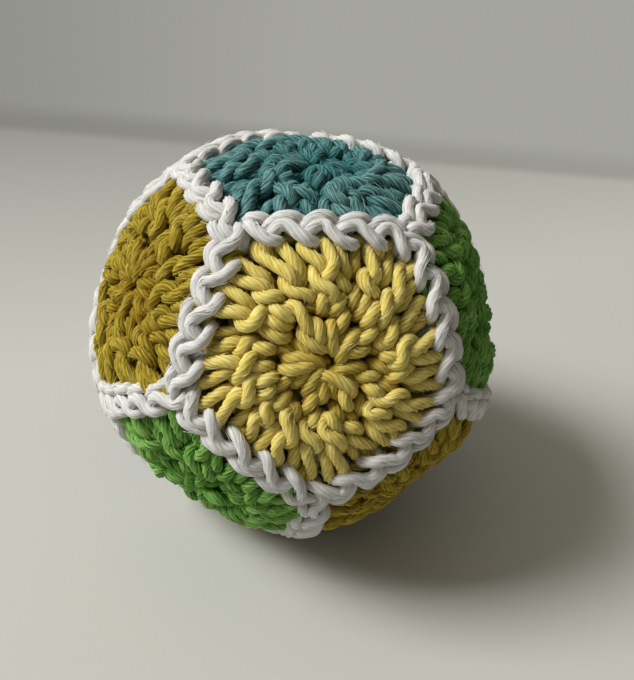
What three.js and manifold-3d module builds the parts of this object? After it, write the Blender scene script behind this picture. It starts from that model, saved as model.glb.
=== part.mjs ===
// A stuffed crochet ball: twelve five-sided crocheted panels round a fibre filling,
// joined along their thirty edges by white crocheted seams that stand up as ridges.
// Millimetres, +Z up. The origin is the point on the table under the ball's centre,
// +Z runs up through the top panel and -Y through the first panel of the upper ring.

import * as THREE from "three";
import { mergeVertices } from "three/addons/utils/BufferGeometryUtils.js";
import Module from "manifold-3d";

// Driving dimensions
const seamRadius = 48.5; // ball centre to the middle of a seam's yarns
const seamRise = 1.5; // top of a seam above seamRadius
const seamWidth = 7.4; // across a seam, over both rows of its chain
const seamShoulderDrop = 1.6; // sides of a seam below its top
const seamGrooveDrop = 0.8; // groove between the two rows of the chain
const seamScallop = 0.5; // how far a seam draws in between two stitches
const crownRise = 0.7; // middle of a panel above seamRadius
const rimDrop = 1.1; // rim of a panel below seamRadius
const fabricThickness = 4.2; // from seamRadius in to the inside of the fabric
const roundRelief = 0.5; // how far the rounds of stitches stand out of a panel
const footDepth = 1.2; // how far the ball's weight flattens its crown on the table
const seamClearance = 0.3; // between a seam and a panel, or a seam and the next
const fillClearance = 0.4; // between the filling and what is wrapped round it
const cutOverrun = 5; // how far a cut runs past what it removes

// Counts
const stitchesPerEdge = 5;
const panelSides = 5;
const wallPointsPerEdge = 6;
const fillDetail = 4;

// Where a panel's rings lie from its middle to its rim, and what each has of roundRelief:
// a drawn-in middle, the first round, the groove behind it, the second round and the rim
const outerRingShares = [0.14, 0.38, 0.56, 0.8, 1];
const outerReliefShares = [-1, 1, -0.6, 0.8, 0];
const innerRingShares = [1, 0.7, 0.35];
const lobeShare = 0.55; // middle of a row of the chain, of half the seam's width

// Sizes that follow from them
const crownRadius = seamRadius + crownRise;
const rimRadius = seamRadius - rimDrop;
const insideRadius = seamRadius - fabricThickness;
const fillRadius = insideRadius - fillClearance;
const seamTopRadius = seamRadius + seamRise;
const centreHeight = crownRadius - footDepth;
const wallOffset = seamWidth / 2 + seamClearance;

// Angles of the regular dodecahedron, from the ball's centre
const faceTilt = Math.acos(1 / Math.sqrt(5)); // between two neighbouring panels
const edgeTilt = faceTilt / 2; // from a panel's middle to the middle of its edge
const edgeTurn = (2 * Math.PI) / panelSides;
const halfEdge = Math.acos((1 + Math.sqrt(5)) / (2 * Math.sqrt(3))); // half a seam's arc

// Yarns
const yarns = {
  yellow: new THREE.Color(0.87, 0.78, 0.33),
  teal: new THREE.Color(0.27, 0.52, 0.54),
  olive: new THREE.Color(0.6, 0.5, 0.13),
  green: new THREE.Color(0.25, 0.6, 0.25),
  white: new THREE.Color(0.92, 0.92, 0.92),
  fill: new THREE.Color(0.88, 0.87, 0.83),
};
const topYarn = "teal";
const upperYarns = ["yellow", "green", "olive", "yellow", "olive"];
const lowerYarns = ["olive", "teal", "green", "teal", "green"];
const bottomYarn = "yellow";

const wasm = await Module();
wasm.setup();

function cottonMaterial(yarn) {
  return new THREE.MeshStandardMaterial({ color: yarns[yarn], roughness: 0.9, metalness: 0 });
}

// A closed surface over loops of as many points each, with a point to close each end
function loftGeometry(firstPoint, loops, lastPoint) {
  const points = [firstPoint, ...loops.flat(), lastPoint];
  const count = loops[0].length;
  const last = points.length - 1;
  const at = (loop, i) => 1 + loop * count + (i % count);
  const triangles = [];
  for (let i = 0; i < count; i++) {
    triangles.push(0, at(0, i), at(0, i + 1));
    for (let loop = 0; loop + 1 < loops.length; loop++) {
      triangles.push(at(loop, i), at(loop + 1, i), at(loop + 1, i + 1));
      triangles.push(at(loop, i), at(loop + 1, i + 1), at(loop, i + 1));
    }
    triangles.push(at(loops.length - 1, i), last, at(loops.length - 1, i + 1));
  }
  const geometry = new THREE.BufferGeometry().setFromPoints(points);
  geometry.setIndex(triangles);
  return geometry;
}

// Angle from a panel's axis to the plane of its side wall, at one turn round the axis
function wallAngle(turn, radius) {
  const fromEdge = ((turn + edgeTurn / 2) % edgeTurn) - edgeTurn / 2;
  const across = Math.cos(edgeTilt) * Math.cos(fromEdge);
  const along = Math.sin(edgeTilt);
  const reach = Math.hypot(across, along);
  return Math.atan2(along, across) - Math.asin(wallOffset / (radius * reach));
}

function panelRing(share, radius) {
  const count = panelSides * wallPointsPerEdge;
  return Array.from({ length: count }, (_, i) => {
    const turn = (2 * Math.PI * i) / count;
    const tilt = share * wallAngle(turn, radius);
    return new THREE.Vector3().setFromSphericalCoords(radius, tilt, turn);
  });
}

// A crowned panel with its axis along the spherical pole, and an edge's middle at turn zero
function panelGeometry() {
  const outerRadius = (share, relief) =>
    rimRadius + (crownRadius - rimRadius) * (1 - share ** 2) + roundRelief * relief;
  const outerRings = outerRingShares.map((share, i) =>
    panelRing(share, outerRadius(share, outerReliefShares[i])),
  );
  const innerRings = innerRingShares.map((share) => panelRing(share, insideRadius));
  const middle = new THREE.Vector3(0, outerRadius(0, outerReliefShares[0]), 0);
  const inside = new THREE.Vector3(0, insideRadius, 0);
  return loftGeometry(middle, [...outerRings, ...innerRings], inside);
}

// Angle from the middle of a seam to the mitre at its end, at one place of its section
function mitreAngle(across, radius) {
  const reach = Math.sqrt(radius ** 2 - across ** 2);
  return halfEdge - Math.asin((Math.abs(across) + seamClearance) / (Math.sqrt(3) * reach));
}

// One section of a seam: across it, and from the ball's centre; drawn in between stitches
function seamSection(drawnIn) {
  const half = seamWidth / 2 - drawnIn;
  const top = seamTopRadius - drawnIn;
  const shoulder = top - seamShoulderDrop;
  return [
    [half, insideRadius],
    [0, insideRadius],
    [-half, insideRadius],
    [-half, shoulder],
    [-half * lobeShare, top],
    [0, top - seamGrooveDrop],
    [half * lobeShare, top],
    [half, shoulder],
  ];
}

// A seam along the arc between two corners: X along it, Y across, Z out of the ball
function seamGeometry() {
  const steps = 2 * stitchesPerEdge;
  const loops = Array.from({ length: steps + 1 }, (_, step) =>
    seamSection(step % 2 === 0 ? seamScallop : 0).map(([across, radius]) => {
      const angle = mitreAngle(across, radius) * ((2 * step) / steps - 1);
      const reach = Math.sqrt(radius ** 2 - across ** 2);
      return new THREE.Vector3(reach * Math.sin(angle), across, reach * Math.cos(angle));
    }),
  );
  const tips = [loops[0], loops[steps]].map((loop) =>
    loop.filter((point) => point.y === 0).reduce((a, b) => a.clone().lerp(b, 1 / 2)),
  );
  return loftGeometry(tips[0], loops, tips[1]);
}

// A closed mesh as a solid that can be cut, and such a solid as a mesh again
function solidOf(geometry) {
  const bare = geometry.clone();
  bare.deleteAttribute("normal");
  bare.deleteAttribute("uv");
  const merged = mergeVertices(bare);
  const vertProperties = merged.attributes.position.array;
  const triVerts = new Uint32Array(merged.index.array);
  return new wasm.Manifold(new wasm.Mesh({ numProp: 3, vertProperties, triVerts }));
}

function geometryOf(solid) {
  const { vertProperties, triVerts } = solid.getMesh();
  const geometry = new THREE.BufferGeometry();
  geometry.setAttribute("position", new THREE.BufferAttribute(vertProperties, 3));
  geometry.setIndex(new THREE.BufferAttribute(triVerts, 1));
  return geometry;
}

// The panel that the ball rests on, flattened where it meets the table
function footPanelGeometry() {
  const depth = footDepth + roundRelief + cutOverrun;
  const table = new THREE.BoxGeometry(2 * seamRadius, depth, 2 * seamRadius);
  table.translate(0, centreHeight + depth / 2, 0);
  return geometryOf(solidOf(panelGeometry()).subtract(solidOf(table)));
}

function addMesh(parent, name, geometry, yarn) {
  const mesh = new THREE.Mesh(geometry, cottonMaterial(yarn));
  mesh.name = name;
  parent.add(mesh);
  return mesh;
}

// The outward direction of every panel, with its name and yarn
function panelPlaces() {
  const places = [{ name: "top", yarn: topYarn, axis: new THREE.Vector3(0, 0, 1) }];
  for (let i = 0; i < panelSides; i++) {
    const turn = -Math.PI / 2 + i * edgeTurn;
    const level = Math.cos(faceTilt);
    const out = Math.sin(faceTilt);
    const upper = new THREE.Vector3(out * Math.cos(turn), out * Math.sin(turn), level);
    const opposite = upper.clone().negate();
    const lowerIndex = (i + 2) % panelSides;
    places.push({ name: `upper_${i + 1}`, yarn: upperYarns[i], axis: upper });
    places.push({ name: `lower_${lowerIndex + 1}`, yarn: lowerYarns[lowerIndex], axis: opposite });
  }
  places.push({ name: "bottom", yarn: bottomYarn, axis: new THREE.Vector3(0, 0, -1) });
  return places;
}

function areNeighbours(a, b) {
  return a !== b && Math.abs(a.axis.angleTo(b.axis) - faceTilt) < edgeTilt / 2;
}

// Turns a panel so that its pole follows its axis and turn zero faces a neighbour
function turnPanel(mesh, place, neighbour) {
  const sideways = place.axis.clone().cross(neighbour.axis).normalize();
  const towards = sideways.clone().cross(place.axis);
  mesh.quaternion.setFromRotationMatrix(
    new THREE.Matrix4().makeBasis(sideways, place.axis, towards),
  );
}

function turnSeam(mesh, a, b) {
  const out = a.axis.clone().add(b.axis).normalize();
  const across = b.axis.clone().sub(a.axis).normalize();
  const along = across.clone().cross(out);
  mesh.quaternion.setFromRotationMatrix(new THREE.Matrix4().makeBasis(along, across, out));
}

function crochetBall() {
  const ball = new THREE.Group();
  ball.position.z = centreHeight;
  addMesh(ball, "stuffing", new THREE.IcosahedronGeometry(fillRadius, fillDetail), "fill");
  const places = panelPlaces();
  for (const place of places) {
    const geometry = place.name === "bottom" ? footPanelGeometry() : panelGeometry();
    const mesh = addMesh(ball, `panel_${place.name}`, geometry, place.yarn);
    turnPanel(mesh, place, places.find((other) => areNeighbours(place, other)));
  }
  places.forEach((a, i) => {
    for (const b of places.slice(i + 1).filter((other) => areNeighbours(a, other))) {
      turnSeam(addMesh(ball, `seam_${a.name}_${b.name}`, seamGeometry(), "white"), a, b);
    }
  });
  return ball;
}

const part = new THREE.Group();
part.add(crochetBall());
export default part;
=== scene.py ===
import math
from collections import namedtuple

import bpy
import numpy as np
from mathutils import Matrix, Vector


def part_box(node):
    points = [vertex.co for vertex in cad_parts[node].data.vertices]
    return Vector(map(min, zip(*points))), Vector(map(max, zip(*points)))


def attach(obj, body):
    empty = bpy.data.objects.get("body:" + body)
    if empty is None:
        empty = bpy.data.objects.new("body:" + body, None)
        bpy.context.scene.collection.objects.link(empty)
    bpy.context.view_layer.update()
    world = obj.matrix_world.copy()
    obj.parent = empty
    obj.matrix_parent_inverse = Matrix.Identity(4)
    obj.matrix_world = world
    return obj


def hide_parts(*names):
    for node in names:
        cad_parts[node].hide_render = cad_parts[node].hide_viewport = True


# A stuffed crochet ball, yarn by yarn. Each panel is one thread worked in rounds of double
# crochet and each white seam is one thread worked in a chain with legs into both panels.
# The threads are laid out stitch by stitch, then relaxed as threads that can't pass through
# each other. Threads are worked out in millimetres and made in metres.

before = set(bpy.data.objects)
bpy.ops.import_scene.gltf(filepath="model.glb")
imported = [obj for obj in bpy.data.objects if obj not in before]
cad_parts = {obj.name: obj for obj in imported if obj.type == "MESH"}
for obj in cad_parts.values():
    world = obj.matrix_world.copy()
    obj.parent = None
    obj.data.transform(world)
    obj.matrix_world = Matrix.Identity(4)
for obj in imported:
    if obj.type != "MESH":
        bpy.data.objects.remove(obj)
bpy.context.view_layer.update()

MM = 0.001
SEED = 20
TINY, HUGE = 1e-9, 1e9  # keeps lengths from zero, and is more than any distance

# The ball, from the frame and in millimetres
fill_low, fill_high = (np.array(corner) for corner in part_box("stuffing"))
CENTRE = (fill_low + fill_high) / 2 / MM
FILL_RADIUS = (fill_high - fill_low)[2] / 2 / MM
SEAM_RADIUS = 48.5  # ball centre to the middle of a seam's threads
FACE_TILT = math.acos(1 / math.sqrt(5))  # between two neighbouring panels
ANGLE_SLACK = 0.1  # radians
FIFTH = 2 * math.pi / 5


def unit(v):
    v = np.asarray(v, float)
    return v / np.linalg.norm(v, axis=-1, keepdims=True)


def smooth_step(x, low, high):
    t = np.clip((x - low) / (high - low), 0, 1)
    return t * t * (3 - 2 * t)


# Threads

CURVE_STEPS = 12  # steps of a curve from one of its points to the next
POINT_SPACING = 1.0  # along a thread while it finds its place
SEARCH_EVERY = 5  # steps from one search for near points to the next
SEARCH_MARGIN = 0.9  # how much farther than its contact a search reaches
SEARCH_SKIP = 4  # points along a thread that don't touch each other
FOLD_SHARE = 0.7  # least distance of two places of one thread, of the thread between them
BEND, BEND_SPREAD = 0.12, 0.8  # how fast a bend opens, and how far that is felt
STIFFNESS = 0.5  # against stretching
TIGHT_START, TIGHT_END = 0.3, 0.9  # shares of the steps between which a thread is drawn tight
LONGEST_MOVE = 0.35  # of a point in one step
FABRIC_HOLD = 0.5  # how fast fabric gives way to what it lies on


def smooth_path(points, spacing):
    """A smooth curve through points, at even spacing."""
    p = np.asarray(points, float)
    p = np.vstack([2 * p[0] - p[1], p, 2 * p[-1] - p[-2]])
    t = np.linspace(0, 1, CURVE_STEPS, endpoint=False)[:, None]
    a, b, c, d = (p[i:len(p) - 3 + i, None] for i in range(4))
    curve = 0.5 * (2 * b + (c - a) * t + (2 * a - 5 * b + 4 * c - d) * t ** 2
                   + (3 * b - a - 3 * c + d) * t ** 3)
    curve = np.vstack([curve.reshape(-1, 3), p[-2]])
    return respace(curve, spacing)


def distances_along(curve):
    return np.r_[0, np.cumsum(np.linalg.norm(np.diff(curve, axis=0), axis=1))]


def sampled(at, along, curve):
    """Places on a curve at some distances along it."""
    return np.stack([np.interp(at, along, curve[:, k]) for k in range(3)], 1)


def respace(curve, spacing):
    along = distances_along(curve)
    count = max(int(round(along[-1] / spacing)), 2)
    return sampled(np.linspace(0, along[-1], count + 1), along, curve)


def near_pairs(points, reach, skip):
    """Pairs of points closer than reach, without neighbours along the thread."""
    order = np.argsort(points[:, 0], kind="stable")
    p = points[order].astype(np.float32)
    square = (p * p).sum(1)
    block_size = 96
    first, second = [], []
    for start in range(0, len(p), block_size):
        stop = min(start + block_size, len(p))
        end = np.searchsorted(p[:, 0], p[stop - 1, 0] + reach)
        gap = square[start:stop, None] + square[None, start:end] - 2 * p[start:stop] @ p[start:end].T
        a, b = np.nonzero(gap < reach * reach)
        keep = b > a
        first.append(order[start + a[keep]])
        second.append(order[start + b[keep]])
    i, j = np.concatenate(first), np.concatenate(second)
    i, j = np.minimum(i, j), np.maximum(i, j)
    keep = j - i >= skip
    return i[keep], j[keep]


def push_apart(x, i, j, least):
    """Moves each pair that is closer than its least distance half the way apart."""
    count = len(x)
    d = x[i] - x[j]
    length = np.sqrt((d * d).sum(1)) + TINY
    over = least - length
    m = over > 0
    i, j = i[m], j[m]
    push = d[m] * (0.5 * over[m] / length[m])[:, None]
    total = np.stack([np.bincount(i, push[:, k], count) - np.bincount(j, push[:, k], count)
                      for k in range(3)], 1)
    shares = np.bincount(i, minlength=count) + np.bincount(j, minlength=count)
    x += total / np.sqrt(np.maximum(shares, 1))[:, None]


def open_bends(x, inner, deep):
    """Moves points towards the middle of their neighbours, without drawing the curve in."""
    off = np.zeros_like(x)
    off[1:-1] = 0.5 * (x[:-2] + x[2:]) - x[1:-1]
    off *= inner[:, None]
    change = np.zeros_like(x)
    change[1:-1] = 0.5 * (off[:-2] + off[2:]) - off[1:-1]
    change *= deep[:, None]
    x += BEND * off - BEND * BEND_SPREAD * change


def keep_lengths(x, linked, rest):
    """Brings linked points back to their distance."""
    e = np.diff(x, axis=0)
    length = np.sqrt((e * e).sum(1)) + TINY
    pull = e * ((length - rest) * 0.5 * STIFFNESS * linked / length)[:, None]
    x[:-1] += pull
    x[1:] -= pull


def relax(x, yarn, steps, contact, settle, shorten, anchor, thickness, start, grow):
    """Lets threads find their places: their thickness grows, they tighten and bend smoothly."""
    x = x.copy()
    home = x.copy()
    linked = (yarn[1:] == yarn[:-1]).astype(float)
    rest = np.linalg.norm(np.diff(x, axis=0), axis=1)
    spacing = np.median(rest)
    inner = np.zeros(len(x))
    inner[1:-1] = linked[1:] * linked[:-1]
    deep = np.zeros(len(x))
    deep[1:-1] = inner[1:-1] * inner[:-2] * inner[2:]
    for step in range(steps):
        done = step / steps
        reach = contact * (start + (1 - start) * min(1, done / grow))
        drawn = min(1, max(0, (done - TIGHT_START) / (TIGHT_END - TIGHT_START)))
        tighten = 1 + (shorten - 1) * drawn
        before = x.copy()
        if step % SEARCH_EVERY == 0:
            i, j = near_pairs(x, reach + SEARCH_MARGIN, SEARCH_SKIP)
            same = np.where(yarn[i] == yarn[j], (j - i) * spacing * tighten * FOLD_SHARE, HUGE)
            least = np.minimum(reach * 0.5 * (thickness[i] + thickness[j]), same)
        for _ in range(2):
            push_apart(x, i, j, least)
        open_bends(x, inner, deep)
        for _ in range(2):
            keep_lengths(x, linked, rest * tighten)
        settle(x)
        x += anchor[:, None] * (home - x)
        move = x - before
        length = np.sqrt((move * move).sum(1)) + TINY
        x = before + move * np.minimum(1, LONGEST_MOVE / length)[:, None]
    return x


# A panel, worked flat in rounds from a ring

# One double crochet: along the round in stitch widths, up in shares of its height, further
# up in thread diameters, and out to the front in thread diameters
YARN_OVER = [
    (-1.05, 0.9, 0, -0.95), (-0.75, 0.8, 0, -0.9), (-0.45, 0.68, 0, -0.3),
    (-0.28, 0.62, 0, 0.5), (-0.1, 0.5, 0.75, 0.6), (0.12, 0.5, 0.62, 0.55),
    (0.24, 0.5, 0, 0.6), (0.1, 0.5, -0.62, 0.8), (-0.12, 0.5, -0.72, 0.8),
    (-0.36, 0.42, 0, 0.3), (-0.4, 0.34, 0, -0.4), (-0.22, 0.2, 0, -0.85),
    (-0.06, 0, 0, -0.75), (-0.02, 0, -0.75, -0.15),
]
FIRST_LOOP = [
    (0.12, 0, -0.3, 0.45), (0.2, 0.1, 0, 0.6), (0.21, 0.28, 0, 0.45),
    (0.18, 0.42, 0, 0.05), (0, 0.5, 0.62, -0.25), (-0.18, 0.42, 0, 0.05),
    (-0.21, 0.28, 0, 0.45), (-0.2, 0.1, 0, 0.6), (-0.12, 0, -0.3, 0.5),
    (0, 0, -0.8, 0),
]
SECOND_LOOP = [
    (0.08, 0, -0.4, -0.7), (0.12, 0.2, 0, -0.95), (0.1, 0.36, 0, -0.85),
    (0.08, 0.46, 0, -0.5), (0.09, 0.5, 0, 0.3), (0.16, 0.5, 0.45, 1.15),
    (0.24, 0.7, 0, 1.15), (0.28, 0.9, 0, 0.85), (0.25, 1, 0.38, 0.5),
    (0, 1, 0.72, 0.3), (-0.25, 1, 0.38, 0.5), (-0.28, 0.9, 0, 0.85),
    (-0.24, 0.7, 0, 1.15), (-0.14, 0.5, 0.45, 1.1), (-0.07, 0.5, 0, 0.3),
    (-0.06, 0.44, 0, -0.5),
]
THIRD_LOOP = [
    (-0.02, 0.5, 0, -1), (0.02, 0.75, 0, -1), (0.05, 0.92, 0, -0.65),
    (0.06, 1, -0.1, -0.15), (0.06, 1, 0.1, 0.45), (0.04, 1, 0.7, 0.5),
]
CHAIN = [
    (0.08, 1, 1.2, 0.5), (0.3, 1, 1.25, 0.8), (0.62, 1, 0.9, 0.9),
    (0.92, 1, 0.6, 0.9), (1.16, 1, 0.62, 0.55), (1.24, 1, 0.62, 0.05),
    (1.14, 1, 0.62, -0.45), (0.92, 1, 0.6, -0.65), (0.62, 1, 0.85, -0.72),
    (0.28, 1, 1.15, -0.55), (-0.02, 1, 1.05, -0.2), (-0.05, 1, 0.5, 0.15),
    (-0.06, 1, -0.1, 0.1), (-0.07, 0.93, 0, -0.5),
]
NECK = 0.5  # height in these lists at which the first loop ends
# A short stitch, whose one loop reaches all the way from its ring to its chain
STAR_LOOP = [
    (0.12, 0, -0.3, -0.1), (0.22, 0.08, 0, 0.45), (0.25, 0.22, 0, 0.85),
    (0.23, 0.38, 0, 0.75), (0.14, 0.47, 0.2, 0.35), (0, 0.5, 0.5, 0),
    (-0.14, 0.47, 0.2, 0.35), (-0.23, 0.38, 0, 0.75), (-0.25, 0.22, 0, 0.85),
    (-0.22, 0.08, 0, 0.45), (-0.12, 0, -0.3, -0.1), (0, 0, -0.6, -0.5),
    (0.08, 0, -0.3, -0.9), (0.1, 0.2, 0, -1.1), (0.08, 0.38, 0, -1),
    (0.06, 0.48, -0.1, -0.3), (0.06, 0.5, 0.1, 0.35), (0.04, 0.5, 0.6, 0.5),
]
SHORT_STITCH = np.array(STAR_LOOP + CHAIN)
LONG_STITCH = np.array(YARN_OVER + FIRST_LOOP + SECOND_LOOP + THIRD_LOOP + CHAIN)

# A round: its stitch and how many, the radii that they stand on and reach to, how high up
# their first loop ends, how far back and how far out their chain lies in thread
# diameters, and the thread that one takes
Round = namedtuple("Round", "stitch count base top neck chain_back chain_out thread")
RING_RADIUS, RING_DEPTH = 1.2, 1.6
RING_START, RING_END, RING_POINTS = -1.2 * math.pi, 0.9 * math.pi, 12
RING_INNER_SHARE, RING_OUTER_SHARE, RING_LIFT = 0.95, 1.1, 0.3
STAR_ROUND = Round(SHORT_STITCH, count=8, base=RING_RADIUS, top=9.8, neck=1.0,
                   chain_back=1.2, chain_out=1.0, thread=34.0)
OUTER_ROUND = Round(LONG_STITCH, count=20, base=10.6, top=21.6, neck=0.30,
                    chain_back=0.6, chain_out=1.3, thread=62.0)

LAID_STRAND = 2.4  # thread diameter that the stitches are laid out with
PRESSED_STRAND = 2.3  # and that they press each other to
LOOSENESS = 0.12  # how unevenly the stitches are worked
HEIGHT_PLAY, TURN_PLAY, DEPTH_PLAY, POINT_PLAY = 0.5, 0.6, 1.5, 0.8  # of LOOSENESS
FOOT_PLAY = 0.5  # how much of its depth's play a stitch has at its foot
LEAST_RADIUS = 0.5
PANEL_STEPS, QUICK_PANEL_STEPS = 350, 60
PANEL_VARIANTS = 12
PANEL_FLATNESS = 0.003  # how fast a panel flattens by itself
PANEL_BACK, PANEL_FRONT = -3.4, 2.6  # between which the middle of its thread lies
CORNER_RADIUS = 18.0  # from here out a panel has its five sides
CONTACT_START, CONTACT_GROWN = 0.4, 0.5  # threads start thinner, for this share of the steps
BACK_THICKNESS, BACK_START, BACK_END = 0.6, -1.5, 0.5  # the threads behind are pressed thinner
STAR_THICKNESS, STAR_START, STAR_END = 0.45, 0.5, 7  # and so are those in the middle
INNER_ANCHOR, RIM_ANCHOR = 0.01, 0.14  # how fast a panel's middle and its rim keep their place
ANCHOR_START, ANCHOR_END = 19.5, 22.5


def stitch_points(rng, worked, base_turn, top_turn):
    """Points of one stitch of a round, which leans from one turn to another."""
    width = 2 * math.pi / worked.count
    height = worked.top - worked.base
    u, v, k, z = worked.stitch.T.copy()
    above = worked.neck + (v - NECK) * (1 - worked.neck) / (1 - NECK)
    share = np.where(v < NECK, v * worked.neck / NECK, above)
    z[-len(CHAIN):] -= worked.chain_back
    k[-len(CHAIN):] *= worked.chain_out
    loose = rng.normal(0, LOOSENESS, 3)
    up = share * height * (1 + HEIGHT_PLAY * loose[0]) + k * LAID_STRAND
    lean = smooth_step(up / height, 0, 1)
    turn = base_turn + (top_turn - base_turn) * lean + (u + TURN_PLAY * loose[1]) * width
    radius = np.maximum(worked.base + up, LEAST_RADIUS)
    out = (z + DEPTH_PLAY * loose[2] * (FOOT_PLAY + lean)) * LAID_STRAND
    points = np.stack([radius * np.cos(turn), radius * np.sin(turn), out], 1)
    return points + rng.normal(0, LOOSENESS * POINT_PLAY, points.shape) * LAID_STRAND


def ring_points():
    """The small ring that a panel begins with, whose thread crosses itself once."""
    turns = np.linspace(RING_START, RING_END, RING_POINTS)
    radius = RING_RADIUS * np.where(turns < 0, RING_INNER_SHARE, RING_OUTER_SHARE)
    out = np.where(turns < 0, -RING_LIFT, RING_LIFT) - RING_DEPTH
    return np.stack([radius * np.cos(turns), radius * np.sin(turns), out], 1)


def panel_points(rng):
    """Points of a whole panel's thread: the ring, and one stitch after another."""
    inner, outer = (2 * math.pi / worked.count for worked in (STAR_ROUND, OUTER_ROUND))
    parts = [ring_points()]
    for n in range(STAR_ROUND.count):
        parts.append(stitch_points(rng, STAR_ROUND, n * inner, n * inner))
    for n in range(OUTER_ROUND.count):
        top = (n - 0.5) * outer
        hole = (round(top / inner - 0.5) + 0.5) * inner
        base = hole + 0.5 * (top - hole)
        parts.append(stitch_points(rng, OUTER_ROUND, base, top))
    return np.vstack(parts)


def turn_from_side(points):
    """Angle of each point of a panel from the middle of its nearest side."""
    turn = np.arctan2(points[:, 1], points[:, 0])
    return (turn + FIFTH / 2) % FIFTH - FIFTH / 2


def side_distance(points):
    """How far towards its nearest side each point of a panel lies."""
    return np.hypot(points[:, 0], points[:, 1]) * np.cos(turn_from_side(points))


def five_sided(points):
    """Draws a round panel out to five corners, with a side's middle at turn zero."""
    radius = np.hypot(points[:, 0], points[:, 1])
    reach = 1 / np.cos(turn_from_side(points))
    share = np.clip(radius / CORNER_RADIUS, 0, 1) ** 2
    points[:, :2] *= (1 + share * (reach - 1))[:, None]
    return points


def settle_flat(x):
    """Fabric lies on the filling, and the filling holds it out."""
    x[:, 2] *= 1 - PANEL_FLATNESS
    z = x[:, 2]
    x[:, 2] += FABRIC_HOLD * (np.clip(z, PANEL_BACK, PANEL_FRONT) - z)


def grown(least, x, low, high):
    """A share that grows from its least to one."""
    return least + (1 - least) * smooth_step(x, low, high)


def worked_panel(seed):
    """The thread of one panel, before it is wrapped on the ball."""
    rng = np.random.default_rng(seed)
    x = smooth_path(five_sided(panel_points(rng)), POINT_SPACING)
    length = (len(x) - 1) * POINT_SPACING
    thread = sum(worked.count * worked.thread for worked in (STAR_ROUND, OUTER_ROUND))
    thickness = grown(BACK_THICKNESS, x[:, 2], BACK_START, BACK_END)
    thickness *= grown(STAR_THICKNESS, np.hypot(x[:, 0], x[:, 1]), STAR_START, STAR_END)
    anchor = INNER_ANCHOR + RIM_ANCHOR * smooth_step(side_distance(x), ANCHOR_START, ANCHOR_END)
    steps = PANEL_STEPS
    return relax(x, np.zeros(len(x), int), steps, PRESSED_STRAND, settle_flat,
                 thread / length, anchor, thickness, CONTACT_START, CONTACT_GROWN)


# Where the panels are on the ball

FOOT_SOFTNESS = 0.4  # how gradually the fabric flattens on the table
SWELLS = {"bottom": 0.25, "top": -1.0}  # the filling has settled a little
PANEL_RADIUS = 45.5  # ball centre to the middle of a panel's fabric
PANEL_SPREAD = 42.8  # radius that a flat panel is wrapped with, so that its threads spread
RIM_LIMIT, RIM_DRAW = 22.9, 0.7  # what lies farther out is drawn in by this share
RIM_START, RIM_END, RIM_SINK = 20.5, 23.5, 0.8  # the rim sinks in under the seams
CROWN_START, CROWN_END, CROWN_DROP = 2, 20, 0.8  # the middle is drawn in a little


def panel_places():
    """Name, cotton and outward direction of each panel."""
    places = [("top", "teal", (0, 0, 1))]
    level, out = math.cos(FACE_TILT), math.sin(FACE_TILT)
    upper = ("upper", 0, level, ["yellow", "green", "olive", "yellow", "olive"])
    lower = ("lower", 0.5, -level, ["olive", "teal", "green", "teal", "green"])
    for row, offset, height, cottons in (upper, lower):
        for n, cotton in enumerate(cottons):
            turn = -math.pi / 2 + (n + offset) * FIFTH
            axis = (out * math.cos(turn), out * math.sin(turn), height)
            places.append((f"{row}_{n + 1}", cotton, axis))
    places.append(("bottom", "yellow", (0, 0, -1)))
    return [(name, cotton, unit(axis)) for name, cotton, axis in places]


def neighbours(a, b):
    return ANGLE_SLACK < math.acos(np.clip(a @ b, -1, 1)) < FACE_TILT + ANGLE_SLACK


def panel_turn(axis, places, spin):
    """Columns: towards the middle of one side, sideways, and out."""
    others = [other for _, _, other in places if neighbours(axis, other)]
    towards = others[0] - (others[0] @ axis) * axis
    towards = unit(towards)
    sideways = np.cross(axis, towards)
    angle = spin * FIFTH
    x = math.cos(angle) * towards + math.sin(angle) * sideways
    return np.stack([x, np.cross(axis, x), axis], 1)


def rest_on_table(x):
    """Presses what would reach below the table up and together."""
    lowest = PRESSED_STRAND / 2 - CENTRE[2]
    x[:, 2] = lowest + FOOT_SOFTNESS * np.logaddexp(0, (x[:, 2] - lowest) / FOOT_SOFTNESS)
    return x


def wrap_panel(flat, turn, swell):
    """Wraps a flat panel on the ball, its rim drawn in under the seams."""
    side = side_distance(flat)
    drawn_in = 1 - RIM_DRAW * np.clip(side - RIM_LIMIT, 0, None) / np.maximum(side, 1)
    reach = np.hypot(flat[:, 0], flat[:, 1]) * drawn_in
    angle = np.arctan2(flat[:, 1], flat[:, 0])
    base = PANEL_RADIUS + swell - RIM_SINK * smooth_step(side, RIM_START, RIM_END)
    height = base + flat[:, 2] - CROWN_DROP * (1 - smooth_step(reach, CROWN_START, CROWN_END))
    tilt = reach / PANEL_SPREAD
    local = np.stack([np.sin(tilt) * np.cos(angle), np.sin(tilt) * np.sin(angle), np.cos(tilt)], 1)
    return rest_on_table((local * height[:, None]) @ turn.T)


# The white seams: ten threads, each crocheted along three edges

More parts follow.
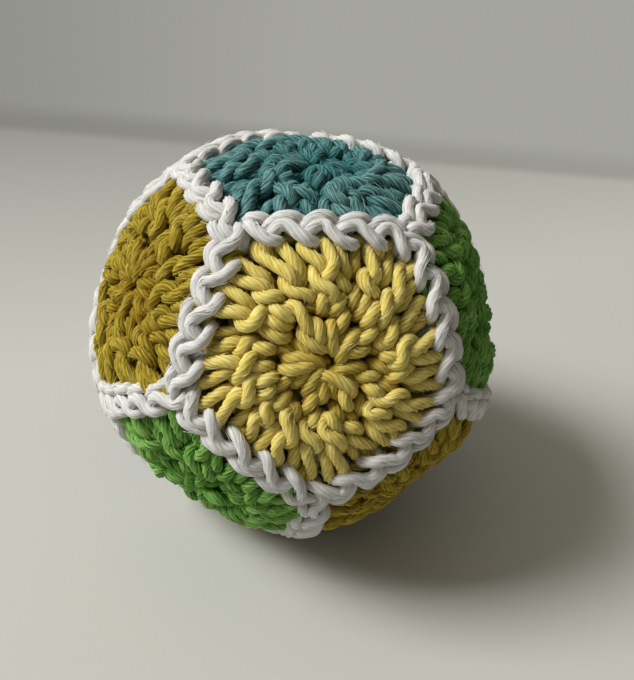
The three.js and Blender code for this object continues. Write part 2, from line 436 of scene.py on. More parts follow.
# One joining stitch: along the seam in stitch lengths, across it and out in thread diameters
JOIN_LOOP = [
    (-0.55, -0.1, -0.8), (-0.48, -0.3, -0.2), (-0.34, -0.6, 0.2), (-0.15, -0.95, 0.35),
    (0.05, -1.2, 0.42), (0.22, -1.25, 0.42), (0.36, -1.15, 0.35), (0.5, -0.95, 0.05),
    (0.64, -0.75, -0.45), (0.78, -0.4, -0.9), (0.95, 0.2, -0.95), (1, 0.7, -0.7),
    (0.96, 1.05, -0.2), (0.84, 1.22, 0.2), (0.68, 1.2, 0.45), (0.53, 0.98, 0.65),
    (0.38, 0.58, 0.8), (0.25, 0.15, 0.85), (0.12, -0.25, 0.85), (0, -0.45, 0.75),
    (-0.15, -0.35, 0.6), (-0.3, 0.05, 0.4), (-0.42, 0.4, -0.05), (-0.46, 0.5, -0.8),
]
JOIN_LEGS = [
    (-0.4, 0.7, -1.3), (-0.32, 1.1, -1.8), (-0.16, 0.5, -1.8), (0.05, 0, -1.7),
    (0.2, -0.55, -1.8), (0.3, -1.1, -1.8), (0.38, -0.6, -1.4),
]
JOIN = np.array(JOIN_LOOP + JOIN_LEGS)
STITCHES_PER_EDGE = 5
SEAM_STRAND = 3.0  # thread diameter that a seam is laid out with
SEAM_CONTACT = 2.1  # and that its threads press each other to
SEAM_ANCHOR = 0.15  # how fast their points keep their place
SEAM_CONTACT_START, SEAM_CONTACT_GROWN = 0.5, 0.6
SEAM_STEPS, QUICK_SEAM_STEPS = 160, 40
SEAM_TOP, SEAM_FOOT = 49.1, 44.6  # between which the middle of a thread lies, from the ball's centre
SEAM_SINK = 0.25  # of SEAM_STRAND
CHAIN_WIDTH = 0.74  # of a joining stitch's own width
CORNER_ROUNDING = 3.5  # how much of its line a seam's corner is averaged over, to each side
EDGE_POINTS, LINE_SPACING = 72, 0.5  # of a seam's line: points along one edge, and then spacing
TURNED_UPPER, TURNED_LOWER = (0, 2), (4, 1)  # which threads are worked the other way
JOIN_PLAY, WIDTH_PLAY, PLACE_PLAY = 0.05, 0.08, 0.03  # how uneven the stitches are
FIRST_LEAN, LEAN_KEPT, LEAN_NEW = 0.45, 0.7, 0.3  # how the stitches lean to one side or the other
LEAN_ACROSS, LEAN_OUT = 0.6, 0.35
UNWORKED_END = 4  # points of the last stitch that are left out
FIRST_PLACE = 2.0  # of the first stitch on its line
LEAST_PLACE, OVERRUN = 0.3, 1.5  # how near a thread comes to its start, and how far past its end
END_MARGIN = 0.6
END_DIP_LENGTH, END_DIP = 3.0, 1.0  # a thread dips in at its end
START_DIP_LENGTH, START_DIP = 2.5, 0.8  # and at its start


def seam_corners():
    """The ball's corners in four rings of five, clockwise from above, as unit directions."""
    axes = {name: axis for name, _, axis in panel_places()}
    upper = [axes[f"upper_{n}"] for n in (1, 5, 4, 3, 2)]
    lower = [axes[f"lower_{n}"] for n in (5, 4, 3, 2, 1)]
    top, bottom = axes["top"], axes["bottom"]
    rings = []
    for n in range(5):
        after = (n + 1) % 5
        rings.append((unit(top + upper[n] + upper[after]), unit(upper[n] + upper[after] + lower[n]),
                      unit(upper[after] + lower[n] + lower[after]), unit(bottom + lower[n] + lower[after])))
    return rings


def seam_routes():
    """Corners of each white thread's route."""
    rings = seam_corners()
    routes = []
    for n in range(5):
        here, after = rings[n], rings[(n + 1) % 5]
        upper = [after[0], here[0], here[1], here[2]]
        lower = [after[1], here[2], here[3], after[3]]
        routes.append(upper[::-1] if n in TURNED_UPPER else upper)
        routes.append(lower[::-1] if n in TURNED_LOWER else lower)
    return routes


def seam_line(corners):
    """Middle line of a seam over the ball, rounded at the corners it passes."""
    points = []
    for a, b in zip(corners[:-1], corners[1:]):
        span = math.acos(a @ b)
        for t in np.linspace(0, 1, EDGE_POINTS, endpoint=False):
            points.append((math.sin((1 - t) * span) * a + math.sin(t * span) * b) / math.sin(span))
    points.append(corners[-1])
    line = respace(np.array(points) * SEAM_RADIUS, LINE_SPACING)
    half = int(CORNER_ROUNDING / LINE_SPACING)
    window = np.ones(2 * half + 1) / (2 * half + 1)
    from_end = np.minimum(np.arange(len(line)), np.arange(len(line))[::-1])
    share = np.clip(from_end / (2.0 * half), 0, 1)[:, None]
    for _ in range(2):
        padded = np.vstack([np.repeat(line[:1], half, 0), line, np.repeat(line[-1:], half, 0)])
        soft = np.stack([np.convolve(padded[:, k], window, "valid") for k in range(3)], 1)
        line = line * (1 - share) + soft * share
    return unit(line) * SEAM_RADIUS


def seam_stitches(rng, count):
    """Points of a row of joining stitches, in the same measures as one."""
    rows = []
    lean = rng.uniform(-FIRST_LEAN, FIRST_LEAN)
    for n in range(count):
        stitch = JOIN.copy()
        stitch += rng.normal(0, JOIN_PLAY, stitch.shape)
        stitch[:len(JOIN_LOOP), 1] *= CHAIN_WIDTH * (1 + rng.normal(0, WIDTH_PLAY))
        stitch[:, 0] += n + rng.normal(0, PLACE_PLAY)
        lean = LEAN_KEPT * lean + LEAN_NEW * rng.uniform(-1.0, 1.0)
        across, out = stitch[:, 1].copy(), stitch[:, 2].copy()
        share = smooth_step(out, -1.0, 0.0)
        stitch[:, 1] = across + lean * share * LEAN_ACROSS
        stitch[:, 2] = out - lean * across * LEAN_OUT * share
        if n == count - 1:
            stitch = stitch[:-UNWORKED_END]
        rows.append(stitch)
    return np.vstack(rows).T


def seam_thread(rng, corners):
    """Points of one white thread, on the ball."""
    line = seam_line(corners)
    along = distances_along(line)
    length = along[-1]
    count = STITCHES_PER_EDGE * (len(corners) - 1)
    s, across, out = seam_stitches(rng, count)
    s = np.clip(s * (length / count) + FIRST_PLACE, LEAST_PLACE, length + OVERRUN)
    end_dip = (smooth_step(s, length - END_DIP_LENGTH, length + OVERRUN) * END_DIP
               + smooth_step(-s, -START_DIP_LENGTH, -LEAST_PLACE) * START_DIP)
    inside = np.clip(s, END_MARGIN, length - END_MARGIN)
    half_mm = 0.5
    ahead = sampled(inside + half_mm, along, line)
    behind = sampled(inside - half_mm, along, line)
    middle = (ahead + behind) / 2 + (ahead - behind) * (s - inside)[:, None]
    radial = unit(middle)
    sideways = unit(np.cross(ahead - behind, radial))
    lift = (out * SEAM_STRAND - end_dip * SEAM_STRAND)[:, None]
    return middle + sideways * (across * SEAM_STRAND)[:, None] + radial * (lift - SEAM_SINK * SEAM_STRAND)


def settle_round(x):
    """The ball's filling holds the seams' legs out, and their tops level."""
    radius = np.linalg.norm(x, axis=1)
    high = np.clip(radius - SEAM_TOP, 0, None)
    low = np.clip(SEAM_FOOT - radius, 0, None)
    x *= (1 + FABRIC_HOLD * (low - high) / radius)[:, None]


def worked_seams():
    """The ten white threads, on the ball."""
    rng = np.random.default_rng(SEED)
    paths = [smooth_path(seam_thread(rng, corners), POINT_SPACING) for corners in seam_routes()]
    yarn = np.concatenate([np.full(len(p), n) for n, p in enumerate(paths)])
    x = np.vstack(paths)
    count = len(x)
    steps = SEAM_STEPS
    x = relax(x, yarn, steps, SEAM_CONTACT, settle_round, 1.0, np.full(count, SEAM_ANCHOR),
              np.ones(count), SEAM_CONTACT_START, SEAM_CONTACT_GROWN)
    return [rest_on_table(x[yarn == n]) for n in range(len(paths))]


# Threads as meshes

PANEL_STRAND, SEAM_THICKNESS = 2.75, 2.6  # diameters of the threads
TWISTS = {"yellow": 13.0, "teal": 15.0, "olive": 15.0, "green": 14.0, "white": 22.0}  # mm a turn
PLIES = 8
COLUMNS = 2 * PLIES
PLY_DEPTH = 0.15  # of the grooves between the plies, as a share of the thread's radius
RING_STEP = 0.75
SLUB_LENGTH, SLUB = 6, 0.05  # every few mm a thread is spun thicker or thinner
PLY_PLAY = 0.035
END_SHARE, END_GROWTH = 0.25, 0.4  # a thread's ends taper
SKEW_DIRECTION = (0.3, 0.5, 0.8)  # which no thread starts in

LOOSE_FIBRES = {"yellow": 1.1, "teal": 1.6, "olive": 1.5, "green": 1.6, "white": 1.6}  # a mm of thread
FIBRE_LIFT = {"yellow": 0.35, "teal": 0.7, "olive": 0.5, "green": 0.7, "white": 0.35}
FIBRE_RADIUS = 0.06
FIBRE_POINTS, FIBRE_SIDES = 4, 3
LYING_SHARE = 0.4  # of the fibres; the others have a free end
LYING_SPANS, FREE_SPANS = (3, 6), (1, 4.5)  # length along the thread
FIBRE_TWISTS = (0.6, 1.8)  # of the thread's own twist
LIFT_MEAN, LIFT_LIMIT = 0.5, 1.5  # of FIBRE_LIFT
LYING_RISE, LYING_LIFT = 0.08, 0.4  # height in the middle, and what it has of the lift
FREE_RISE, FREE_POWER = 0.2, 1.3  # height at the free end, and how late it is reached
FIBRE_SINK = 0.06
FIBRE_STRAY, FIBRE_SKEW = 0.45, 0.3
FIBRE_SIZES = (0.7, 1.3)
TIP_START, TIP_SPAN = 0.12, 0.76  # of half a wave, which a fibre's thickness follows

BAKE_ROWS = 24
BAKE_MARGIN, FIBRE_MARGIN = 0.06, 0.1
TRIANGLE_MAP = np.array([[0.001, 0.001], [0.004, 0.001], [0.001, 0.004]]) / 4
FIBRE_TONE_STEP = 0.37  # from the map place of one fibre to that of the next
# Painted shade: a thread's colour gets darker the deeper it lies between the others, towards the ball's
# centre
DEEP_RADIUS, OPEN_RADIUS = 43.8, 48.4  # between which a thread gets darker, from the ball's centre


def carried_frames(path):
    """Two sideways directions that turn as little as they can along a path."""
    tangent = unit(np.gradient(path, axis=0))
    side = np.zeros_like(path)
    side[0] = unit(np.cross(tangent[0], SKEW_DIRECTION))
    for n in range(1, len(path)):
        v = side[n - 1] - (side[n - 1] @ tangent[n]) * tangent[n]
        side[n] = v / math.sqrt(v @ v)
    return side, np.cross(tangent, side)


def loose_fibres(path, side, up, twist, radius, count, height, rng):
    """Centre lines, thicknesses and frames of fibres that stand off a thread, and where they lie."""
    t = np.linspace(0, 1, FIBRE_POINTS)[None]
    lying = rng.uniform(0, 1, count)[:, None] < LYING_SHARE
    span = np.where(lying[:, 0], rng.uniform(*LYING_SPANS, count), rng.uniform(*FREE_SPANS, count))
    span = (span / RING_STEP)[:, None]
    at = rng.uniform(0, 1, count)[:, None] * (len(path) - 2 - span) + span * t
    low = at.astype(int)
    share = (at - low)[..., None]

    def sample(values):
        return values[low] * (1 - share) + values[low + 1] * share

    turn = rng.uniform(0, 2 * math.pi, count)[:, None]
    turn = turn + 2 * math.pi * at * RING_STEP / (twist * rng.uniform(*FIBRE_TWISTS, count)[:, None])
    lift = height * np.minimum(rng.exponential(LIFT_MEAN, count), LIFT_LIMIT)[:, None]
    stand = np.where(lying, np.sin(math.pi * t) * (LYING_RISE + LYING_LIFT * lift),
                     t ** FREE_POWER * (FREE_RISE + lift))
    reach = (radius + stand - FIBRE_SINK)[..., None]
    outward = np.cos(turn)[..., None] * sample(side) + np.sin(turn)[..., None] * sample(up)
    centre = sample(path) + reach * outward
    stray = rng.normal(0, FIBRE_STRAY, (count, 1, 3))
    centre += height * stray * (np.where(lying, 0, t ** 2))[..., None]
    forward = unit(np.gradient(centre, axis=1))
    sideways = unit(np.cross(forward, sample(side) + FIBRE_SKEW * sample(up)))
    sizes = rng.uniform(*FIBRE_SIZES, count)[:, None]
    thick = FIBRE_RADIUS * np.sin(math.pi * (TIP_START + TIP_SPAN * t)) * sizes
    return centre, thick, sideways, np.cross(forward, sideways), at * RING_STEP


def fibre_tubes(centre, thick, sideways, upwards):
    """Three-sided tubes with closed ends: points, and faces of four and of three corners."""
    count, steps = centre.shape[:2]
    corner = 2 * math.pi * np.arange(FIBRE_SIDES) / FIBRE_SIDES
    around = (np.cos(corner)[:, None] * sideways[:, :, None] + np.sin(corner)[:, None] * upwards[:, :, None])
    points = (centre[:, :, None] + thick[..., None, None] * around).reshape(-1, 3)
    base = (np.arange(count)[:, None, None] * steps + np.arange(steps - 1)[None, :, None]) * FIBRE_SIDES
    k = np.arange(FIBRE_SIDES)[None, None]
    after = (k + 1) % FIBRE_SIDES
    ahead = base + FIBRE_SIDES
    quads = np.stack([base + k, base + after, ahead + after, ahead + k], -1).reshape(-1, 4)
    start = np.arange(count) * steps * FIBRE_SIDES
    stop = start + (steps - 1) * FIBRE_SIDES
    caps = np.vstack([np.stack([start, start + 2, start + 1], 1), np.stack([stop, stop + 1, stop + 2], 1)])
    return points, quads, caps


def plied_points(path, side, up, diameter, twist, ridge, rng):
    """Points of a twisted thread of plies, ring after ring, with one point to close each end."""
    count = len(path)
    along = np.arange(count) * RING_STEP
    column = np.arange(COLUMNS)
    angle = (2 * math.pi * along / twist)[:, None] + 2 * math.pi * column[None] / COLUMNS
    slub_places = np.arange(0, along[-1] + 2 * SLUB_LENGTH, SLUB_LENGTH)
    slub = 1 + SLUB * np.interp(along, slub_places, rng.normal(0, 1, len(slub_places)))
    uneven = 1 + PLY_PLAY * rng.normal(0, 1, COLUMNS)
    radius = diameter / 2 * slub[:, None] * np.where(ridge, 1.0, 1 - PLY_DEPTH)[None] * uneven[None]
    from_end = np.minimum(np.arange(count), np.arange(count)[::-1])
    radius = radius * np.minimum(1, END_SHARE + from_end * END_GROWTH)[:, None]
    outward = np.cos(angle)[..., None] * side[:, None] + np.sin(angle)[..., None] * up[:, None]
    points = path[:, None] + radius[..., None] * outward
    return np.vstack([points.reshape(-1, 3), path[:1], path[-1:]])


def plied_faces(count):
    """Faces of a thread of so many rings, of four corners and at its ends of three."""
    i = np.arange(count - 1)[:, None] * COLUMNS
    around = np.arange(COLUMNS)
    beside = (around + 1) % COLUMNS
    ahead = i + COLUMNS
    quads = np.stack([i + around, i + beside, ahead + beside, ahead + around], -1).reshape(-1, 4)
    first, last = count * COLUMNS, count * COLUMNS + 1
    base = (count - 1) * COLUMNS
    caps = np.vstack([np.stack([np.full(COLUMNS, first), beside, around], 1),
                      np.stack([np.full(COLUMNS, last), base + around, base + beside], 1)])
    return quads, caps


def strand_mesh(name, path, diameter, cotton, rng):
    """A twisted thread of plies along a path, in metres, with its loose fibres, maps and marks."""
    path = respace(path, RING_STEP)
    count = len(path)
    side, up = carried_frames(path)
    ridge = np.arange(COLUMNS) % 2 == 0
    twist = TWISTS[cotton]
    points = plied_points(path, side, up, diameter, twist, ridge, rng)
    quads, caps = plied_faces(count)
    length = (count - 1) * RING_STEP
    fibres = int(LOOSE_FIBRES[cotton] * length)
    *lines, place = loose_fibres(path, side, up, twist, diameter / 2, fibres, FIBRE_LIFT[cotton], rng)
    fibre_points, fibre_quads, fibre_caps = fibre_tubes(*lines)
    own = len(points)
    points = np.vstack([points, fibre_points])
    faces = quads.tolist() + caps.tolist() + (fibre_quads + own).tolist() + (fibre_caps + own).tolist()
    mesh = bpy.data.meshes.new(name)
    mesh.from_pydata((points + CENTRE) * MM, [], faces)
    mesh.shade_smooth()
    add_maps(mesh, count, place)
    add_marks(mesh, count, place.size, ridge, np.linalg.norm(points, axis=1))
    return mesh


def add_map(mesh, name, quads, fibre_quads, fibres):
    """A map from the places of a thread's faces and of its fibres' faces; end caps are tiny."""
    thread_caps = np.tile(TRIANGLE_MAP, (2 * COLUMNS, 1))
    fibre_caps = np.tile(TRIANGLE_MAP, (2 * fibres, 1))
    places = [quads.reshape(-1, 2), thread_caps, fibre_quads.reshape(-1, 2), fibre_caps]
    mesh.uv_layers.new(name=name).data.foreach_set("uv", np.vstack(places).ravel())


def add_maps(mesh, count, fibre_place):
    """A bake map of strips, and a map that follows the thread in millimetres."""
    du, dv = np.array([0, 0, 1, 1]), np.array([0, 1, 1, 0])
    ring = np.repeat(np.arange(count - 1), COLUMNS)[:, None]
    column = np.tile(np.arange(COLUMNS), count - 1)[:, None]
    fibres, steps = fibre_place.shape
    fibre = np.repeat(np.arange(fibres), FIBRE_SIDES * (steps - 1))[:, None]
    step = np.tile(np.repeat(np.arange(steps - 1), FIBRE_SIDES), fibres)[:, None]
    side = np.tile(np.arange(FIBRE_SIDES), (steps - 1) * fibres)[:, None]

    rows = BAKE_ROWS + 1
    rings_per_row = math.ceil((count - 1) / BAKE_ROWS)
    row, place = ring // rings_per_row, ring % rings_per_row
    inside = 1 - 2 * BAKE_MARGIN
    u = (place + du + 1) / (rings_per_row + 2)
    v = (row + BAKE_MARGIN + inside * (column + dv) / COLUMNS) / rows
    fibre_u = (fibre + FIBRE_MARGIN + (1 - 2 * FIBRE_MARGIN) * (side + dv) / FIBRE_SIDES) / max(fibres, 1)
    fibre_v = (BAKE_ROWS + BAKE_MARGIN + inside * (step + du) / (steps - 1)) / rows
    add_map(mesh, "OFBake", np.stack([u, v], -1), np.stack([fibre_u, fibre_v], -1), fibres)

    s = (ring + du) * RING_STEP
    k = (column + dv) / COLUMNS
    fibre_s = fibre_place[fibre, step + du]
    fibre_k = np.broadcast_to((fibre * FIBRE_TONE_STEP) % 1, fibre_s.shape)
    add_map(mesh, "Thread", np.stack([s, k], -1), np.stack([fibre_s, fibre_k], -1), fibres)


def add_marks(mesh, count, fibre_rings, ridge, radii):
    """Marks for the cotton: how deep each point is in a groove and in the ball, which the cotton turns into
    painted shade, and what is fibre.
    """
    fibre_points = FIBRE_SIDES * fibre_rings
    marks = {
        "groove": np.r_[np.tile(np.where(ridge, 0.0, 1.0), count), 0.5, 0.5, np.zeros(fibre_points)],
        "fuzz": np.repeat([0.0, 1.0], [count * COLUMNS + 2, fibre_points]),
        "depth": 1 - smooth_step(radii, DEEP_RADIUS, OPEN_RADIUS),
    }
    for name, values in marks.items():
        mark = mesh.attributes.new(name, "FLOAT", "POINT")
        mark.data.foreach_set("value", values)


def add_object(name, data):
    thing = bpy.data.objects.new(name, data)
    bpy.context.collection.objects.link(thing)
    return thing


def add_piece(name, mesh, material):
    piece = add_object(name, mesh)
    mesh.materials.append(material)
    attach(piece, "root")
    return piece


# Shader nodes

def linked_or_set(tree, socket, value):
    if isinstance(value, bpy.types.NodeSocket):
        tree.links.new(value, socket)
    else:
        socket.default_value = value


def mixed(tree, mode, share, a, b):
    """A mix of two colours; share, a and b are values or sockets."""
    mix = tree.nodes.new("ShaderNodeMix")
    mix.data_type = "RGBA"
    mix.blend_type = mode
    for socket, value in ((mix.inputs[0], share), (mix.inputs[6], a), (mix.inputs[7], b)):
        linked_or_set(tree, socket, value)
    return mix.outputs[2]


def ranged(tree, value, span, low=0.0, high=1.0, soft=False):
    """A value whose span is stretched to reach from low to high."""
    node = tree.nodes.new("ShaderNodeMapRange")
    if soft:
        node.interpolation_type = "SMOOTHSTEP"
    node.inputs["From Min"].default_value = span[0]
    node.inputs["From Max"].default_value = span[1]
    node.inputs["To Min"].default_value = low
    node.inputs["To Max"].default_value = high
    tree.links.new(value, node.inputs["Value"])
    return node.outputs[0]


def computed(tree, operation, *values):
    """The result of one sum on values or sockets."""
    node = tree.nodes.new("ShaderNodeMath")
    node.operation = operation
    for socket, value in zip(node.inputs, values):
        linked_or_set(tree, socket, value)
    return node.outputs[0]


def noise(tree, place, scale, detail):
    texture = tree.nodes.new("ShaderNodeTexNoise")
    texture.inputs["Scale"].default_value = scale
    texture.inputs["Detail"].default_value = detail
    tree.links.new(place, texture.inputs["Vector"])
    return texture.outputs["Fac"]


def attribute(tree, name):
    node = tree.nodes.new("ShaderNodeAttribute")
    node.attribute_name = name
    return node.outputs["Fac"]


def add_bump(tree, shader, height, distance, strength):
    bump = tree.nodes.new("ShaderNodeBump")
    bump.inputs["Strength"].default_value = strength
    bump.inputs["Distance"].default_value = distance * MM
    tree.links.new(height, bump.inputs["Height"])
    tree.links.new(bump.outputs[0], shader.inputs["Normal"])


def new_material(name):
    """A material, its node tree and its shader."""
    material = bpy.data.materials.new(name)
    material.use_nodes = True
    tree = material.node_tree
    return material, tree, tree.nodes["Principled BSDF"]


# Cotton

# Colours as linear light: worn and pale, deep in the thread, and the painted shade in the grooves of its
# plies
COTTONS = {
    "yellow": ((0.95, 0.87, 0.40), (0.72, 0.57, 0.06), (0.68, 0.53, 0.12)),
    "teal": ((0.25, 0.47, 0.47), (0.005, 0.085, 0.09), (0.02, 0.20, 0.20)),
    "olive": ((0.60, 0.485, 0.06), (0.20, 0.13, 0.002), (0.32, 0.21, 0.01)),
    "green": ((0.36, 0.61, 0.17), (0.04, 0.20, 0.006), (0.12, 0.32, 0.03)),
    "white": ((0.85, 0.85, 0.84), (0.68, 0.68, 0.67), (0.66, 0.65, 0.63)),
}
FUZZ_TINT = (0.88, 0.88, 0.80)
FUZZ_PALENESS = 0.12
# Painted shade deep between the threads: how much light it leaves, and how much it deepens the colour
DEPTH_LIGHT, DEPTH_POWER = 0.55, 1.4  # light that is left deep between the threads
# A noise: how often it changes in a mm along the thread and once round it, and its detail
FIBRE_NOISE, PATCH_NOISE, GAP_NOISE = (0.55, 30, 5), (0.08, 3, 2), (0.5, 9, 2)
FIBRE_SPAN, PATCH_SPAN, GAP_SPAN = (0.32, 0.62), (0.35, 0.65), (0.35, 0.6)
PATCH_TINT, PATCH_SHARE = (0.8, 0.8, 0.76, 1), 0.35
# The painted shade in a ply groove drops to this share where fibres bridge the groove
LEAST_GROOVE = 0.35  # where fibres bridge a groove
FIBRE_RELIEF, FIBRE_RELIEF_STRENGTH = 0.16, 0.8


def cotton_material(name, pale, deep, groove_shade):
    material, tree, shader = new_material(name)
    nodes, links = tree.nodes, tree.links
    thread = nodes.new("ShaderNodeUVMap")
    thread.uv_map = "Thread"

    def thread_noise(scale_along, scale_round, detail):
        stretch = nodes.new("ShaderNodeMapping")
        stretch.inputs["Scale"].default_value = (scale_along, scale_round, 1)
        links.new(thread.outputs[0], stretch.inputs["Vector"])
        return noise(tree, stretch.outputs[0], 1, detail)

    colour = tuple((a + b) / 2 for a, b in zip(pale, deep))
    depth_shade = tuple(DEPTH_LIGHT * (c / max(colour)) ** DEPTH_POWER for c in colour)
    haze = tuple(a + (b - a) * FUZZ_PALENESS for a, b in zip(pale, FUZZ_TINT))
    fibres, patches, gaps = (thread_noise(*look) for look in (FIBRE_NOISE, PATCH_NOISE, GAP_NOISE))
    spread = ranged(tree, fibres, FIBRE_SPAN)
    body = mixed(tree, "MIX", spread, (*deep, 1), (*pale, 1))
    tone = ranged(tree, patches, PATCH_SPAN, 0.0, PATCH_SHARE)
    body = mixed(tree, "MULTIPLY", tone, body, PATCH_TINT)
    # Painted shade: the grooves between the plies are drawn darker, less where fibres bridge them
    closed = ranged(tree, gaps, GAP_SPAN, LEAST_GROOVE, 1.0)
    groove_shading = computed(tree, "MULTIPLY", attribute(tree, "groove"), closed)
    body = mixed(tree, "MULTIPLY", groove_shading, body, (*groove_shade, 1))
    body = mixed(tree, "MIX", attribute(tree, "fuzz"), body, (*haze, 1))
    # Painted shade deep between the threads, darker and richer in colour
    body = mixed(tree, "MULTIPLY", attribute(tree, "depth"), body, (*depth_shade, 1))
    links.new(body, shader.inputs["Base Color"])
    shader.inputs["Roughness"].default_value = 0.85
    shader.inputs["Specular IOR Level"].default_value = 0.15
    shader.inputs["Sheen Weight"].default_value = 0.4
    shader.inputs["Sheen Roughness"].default_value = 0.5
    shader.inputs["Sheen Tint"].default_value = (*colour, 1)
    add_bump(tree, shader, fibres, FIBRE_RELIEF, FIBRE_RELIEF_STRENGTH)
    return material


# Filling

FILL_SINK = 3.8  # the filling's lumps stay behind the panels' threads
LUMP_HEIGHT = 0.9
LUMP_WAVES = ((4, 0.5), (9, 0.3), (19, 0.18))  # how many round the ball, and their height
WAVES_PER_SIZE = 6
# The filling's grain runs between a dark and a pale fibre colour: its own unevenness, and painted shade, as
# the dark end keeps it dim where it shows between the threads
FILL_DARK, FILL_PALE = (0.5, 0.48, 0.42, 1), (0.85, 0.84, 0.8, 1)
FILL_GRAIN, FILL_DETAIL, FILL_RELIEF = 300, 5, 0.4


def make_filling():
    """Loose fibre, drawn into lumps."""
    bpy.ops.mesh.primitive_ico_sphere_add(subdivisions=6, radius=1)
    piece = bpy.context.object
    piece.name = "fibre_filling"
    count = len(piece.data.vertices)
    co = np.zeros(count * 3)
    piece.data.vertices.foreach_get("co", co)
    co = unit(co.reshape(-1, 3))
    rng = np.random.default_rng(SEED + 1)
    lumps = np.zeros(count)
    for scale, size in LUMP_WAVES:
        for _ in range(WAVES_PER_SIZE):
            direction = unit(rng.normal(0, 1, 3))
            phase = rng.uniform(0, 2 * math.pi)
            lumps += size / WAVES_PER_SIZE * np.cos(scale * (co @ direction) + phase)
    radius = FILL_RADIUS - FILL_SINK + LUMP_HEIGHT * lumps
    points = (co * radius[:, None] + CENTRE) * MM
    piece.data.vertices.foreach_set("co", points.ravel())
    piece.data.shade_smooth()
    piece.data.materials.append(filling_material())
    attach(piece, "root")
    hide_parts("stuffing")


def filling_material():
    material, tree, shader = new_material("fibre_fill")
    place = tree.nodes.new("ShaderNodeTexCoord")
    grain = noise(tree, place.outputs["Object"], FILL_GRAIN, FILL_DETAIL)
    # Random grain with painted shade in it: the filling is drawn darker than white fibre
    body = mixed(tree, "MIX", grain, FILL_DARK, FILL_PALE)
    tree.links.new(body, shader.inputs["Base Color"])
    shader.inputs["Roughness"].default_value = 0.9
    add_bump(tree, shader, grain, FILL_RELIEF, 1.0)
    return material


# Camera, table and light, in metres

VIEW_FROM = (-0.53421, -3.30051, 2.20001)  # from the ball's centre, in SEAM_RADIUS
VIEW_TURN, VIEW_DROP, VIEW_ROLL = 11.116, 33.776, 7.06  # degrees
FOCAL, SENSOR = 40.6, 36  # mm

TABLE_TURN = -4.6  # degrees
TABLE_NEAR, TABLE_HALF, TABLE_DROP = 2.0, 2.0, 0.3
TABLE_EDGE, TABLE_END = 0.256, 0.33  # where the top turns darker, and where it ends
EDGE_BLUR, END_BLUR = 0.008, 0.02
EDGE_BEND, BEND_STEPS = 0.012, 8
# Painted shade for the band along the table's far edge
EDGE_SHADE = (0.78, 0.78, 0.78, 1)
TABLE_COLOUR = (0.565, 0.565, 0.535)
TABLE_UNEVENNESS, TABLE_GRAIN, TABLE_DETAIL = 0.96, 3, 2
# Painted shade: the table is drawn darker away from the lamp
FAR_SLANT, FAR_SPAN = -0.5, (0.08, 0.34)  # the table gets darker away from the lamp
FAR_SHADE = (0.5, 0.5, 0.5, 1)

WALL_COLOUR, WALL_SHADE = (0.372, 0.374, 0.338, 1), (0.285, 0.283, 0.262, 1)
SHADE_SPAN = (0.12, -0.24)  # how far to the right the wall begins to darken, and ends
ROOM_COLOUR, ROOM_LIGHT = (1.0, 0.93, 0.76, 1), 0.31
LOW_LIGHT, HIGH_LIGHT = 0.1, 1.5
BRIGHT_SIDE = (-0.5, 0.25, 0.83)  # where the room's light comes from most
LAMP_COLOUR, LAMP_POWER, LAMP_SIZE = (0.985, 0.985, 0.975), 147.0, 1.35
LAMP_TURN, LAMP_RISE, LAMP_DISTANCE = 1.5, 44.0, 3.6  # degrees behind the left, and up


def make_camera():
    data = bpy.data.cameras.new("photo_view")
    data.lens = FOCAL
    data.sensor_width = SENSOR
    camera = add_object("photo_view", data)
    place = (CENTRE + np.array(VIEW_FROM) * SEAM_RADIUS) * MM
    turn, drop, roll = (math.radians(v) for v in (VIEW_TURN, VIEW_DROP, VIEW_ROLL))
    aim = Matrix.Rotation(-turn, 4, "Z") @ Matrix.Rotation(math.pi / 2 - drop, 4, "X")
    camera.matrix_world = Matrix.Translation(place) @ aim @ Matrix.Rotation(roll, 4, "Z")
    bpy.context.scene.camera = camera


def table_material():
    """Pale and matt, with painted shade at its far side and past its edge, where it fades out."""
    material, tree, shader = new_material("pale_table")
    nodes, links = tree.nodes, tree.links
    place = nodes.new("ShaderNodeTexCoord")
    grain = noise(tree, place.outputs["Object"], TABLE_GRAIN, TABLE_DETAIL)
    darker = tuple(TABLE_UNEVENNESS * c for c in TABLE_COLOUR)
    body = mixed(tree, "MIX", grain, (*darker, 1), (*TABLE_COLOUR, 1))
    split = nodes.new("ShaderNodeSeparateXYZ")
    links.new(place.outputs["Object"], split.inputs[0])
    x, y = split.outputs["X"], split.outputs["Y"]
    # Painted shade, darker away from the lamp
    slant = computed(tree, "MULTIPLY_ADD", x, FAR_SLANT, y)
    body = mixed(tree, "MULTIPLY", ranged(tree, slant, FAR_SPAN), body, FAR_SHADE)
    # Painted shade: a darker band along the far edge, before the top fades out
    edge = ranged(tree, y, (TABLE_EDGE - EDGE_BLUR, TABLE_EDGE + EDGE_BLUR), soft=True)
    body = mixed(tree, "MULTIPLY", edge, body, EDGE_SHADE)
    links.new(body, shader.inputs["Base Color"])
    shader.inputs["Roughness"].default_value = 0.75
    shader.inputs["Specular IOR Level"].default_value = 0.2
    end = ranged(tree, y, (TABLE_EDGE + EDGE_BLUR, TABLE_END - END_BLUR), soft=True)
    clear = nodes.new("ShaderNodeBsdfTransparent")
    fade = nodes.new("ShaderNodeMixShader")
    links.new(end, fade.inputs[0])
    links.new(shader.outputs[0], fade.inputs[1])
    links.new(clear.outputs[0], fade.inputs[2])
    links.new(fade.outputs[0], nodes["Material Output"].inputs["Surface"])
    return material


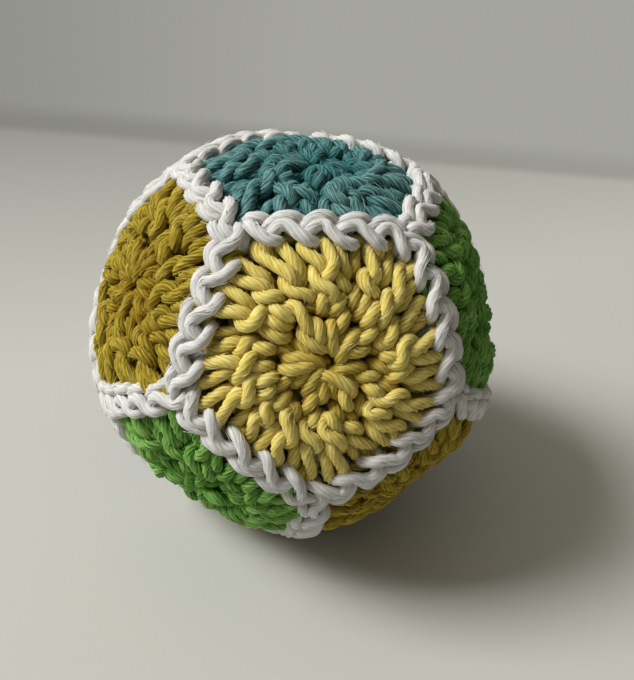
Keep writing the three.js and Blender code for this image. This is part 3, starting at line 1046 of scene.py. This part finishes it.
def make_table():
    """A pale table top, whose far edge is rounded."""
    bend_start = TABLE_END - EDGE_BEND
    profile = [(-TABLE_NEAR, 0.0), (bend_start, 0.0)]
    for n in range(1, BEND_STEPS + 1):
        angle = n / BEND_STEPS * math.pi / 2
        profile.append((bend_start + EDGE_BEND * math.sin(angle), EDGE_BEND * math.cos(angle) - EDGE_BEND))
    profile.append((TABLE_END, -TABLE_DROP))
    count = len(profile)
    points = [(x, y, z) for x in (-TABLE_HALF, TABLE_HALF) for y, z in profile]
    faces = [(i, i + count, i + count + 1, i + 1) for i in range(count - 1)]
    mesh = bpy.data.meshes.new("table_top")
    mesh.from_pydata(points, [], faces)
    mesh.shade_smooth()
    table = add_object("table_top", mesh)
    table.rotation_euler = (0, 0, math.radians(TABLE_TURN))
    mesh.materials.append(table_material())


def make_world():
    """Soft light from all round, and a plain pale wall to look at."""
    world = bpy.data.worlds.new("soft_room")
    bpy.context.scene.world = world
    world.use_nodes = True
    tree = world.node_tree
    nodes, links = tree.nodes, tree.links
    room = nodes["Background"]
    room.inputs["Color"].default_value = ROOM_COLOUR
    place = nodes.new("ShaderNodeTexCoord")
    facing = nodes.new("ShaderNodeVectorMath")
    facing.operation = "DOT_PRODUCT"
    facing.inputs[1].default_value = BRIGHT_SIDE
    links.new(place.outputs["Generated"], facing.inputs[0])
    light = ranged(tree, facing.outputs["Value"], (0, 1),
                   LOW_LIGHT * ROOM_LIGHT, HIGH_LIGHT * ROOM_LIGHT)
    links.new(light, room.inputs["Strength"])
    wall = nodes.new("ShaderNodeBackground")
    split = nodes.new("ShaderNodeSeparateXYZ")
    links.new(place.outputs["Generated"], split.inputs[0])
    shade = ranged(tree, split.outputs["X"], SHADE_SPAN)
    colour = mixed(tree, "MIX", shade, WALL_COLOUR, WALL_SHADE)
    links.new(colour, wall.inputs["Color"])
    path = nodes.new("ShaderNodeLightPath")
    seen = computed(tree, "MAXIMUM", path.outputs["Is Camera Ray"], path.outputs["Is Glossy Ray"])
    seen = computed(tree, "MAXIMUM", seen, path.outputs["Is Transmission Ray"])
    mix = nodes.new("ShaderNodeMixShader")
    links.new(seen, mix.inputs[0])
    links.new(room.outputs[0], mix.inputs[1])
    links.new(wall.outputs[0], mix.inputs[2])
    links.new(mix.outputs[0], nodes["World Output"].inputs["Surface"])


def make_window():
    """A large soft lamp, as a window to the left."""
    data = bpy.data.lights.new("window", "AREA")
    data.shape = "SQUARE"
    data.size = LAMP_SIZE
    data.energy = LAMP_POWER
    data.color = LAMP_COLOUR
    lamp = add_object("window", data)
    turn, rise = math.radians(LAMP_TURN), math.radians(LAMP_RISE)
    out = Vector((-math.cos(turn) * math.cos(rise), math.sin(turn) * math.cos(rise), math.sin(rise)))
    lamp.location = Vector(CENTRE * MM) + LAMP_DISTANCE * out
    lamp.rotation_euler = out.to_track_quat("Z", "Y").to_euler()


# The ball

def make_panels(materials):
    places = panel_places()
    count = PANEL_VARIANTS
    worked = [worked_panel(SEED + n) for n in range(count)]
    rng = np.random.default_rng(SEED + 7)
    for n, (name, cotton, axis) in enumerate(places):
        path = wrap_panel(worked[n % count], panel_turn(axis, places, n), SWELLS.get(name, 0.0))
        mesh = strand_mesh(f"crochet_{name}", path, PANEL_STRAND, cotton, rng)
        piece = add_piece(f"crochet_{name}", mesh, materials[cotton])
        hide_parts(f"panel_{name}")


def edge_node(a, b, places):
    """Name of the CAD seam between two corners of the ball."""
    middle = unit(a + b)
    near = sorted(places, key=lambda place: -(place[2] @ middle))[:2]
    first, second = (place[0] for place in near)
    name = f"seam_{first}_{second}"
    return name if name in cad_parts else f"seam_{second}_{first}"


def make_seams(materials):
    places = panel_places()
    rng = np.random.default_rng(SEED + 8)
    for n, (path, corners) in enumerate(zip(worked_seams(), seam_routes())):
        name = f"seam_chain_{n + 1}"
        mesh = strand_mesh(name, path, SEAM_THICKNESS, "white", rng)
        piece = add_piece(name, mesh, materials["white"])
        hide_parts(*(edge_node(a, b, places) for a, b in zip(corners[:-1], corners[1:])))


make_camera()
make_table()
make_world()
make_window()
materials = {name: cotton_material(f"{name}_cotton", *look) for name, look in COTTONS.items()}
make_filling()
make_panels(materials)
make_seams(materials)
bpy.context.scene.view_settings.view_transform = "Standard"
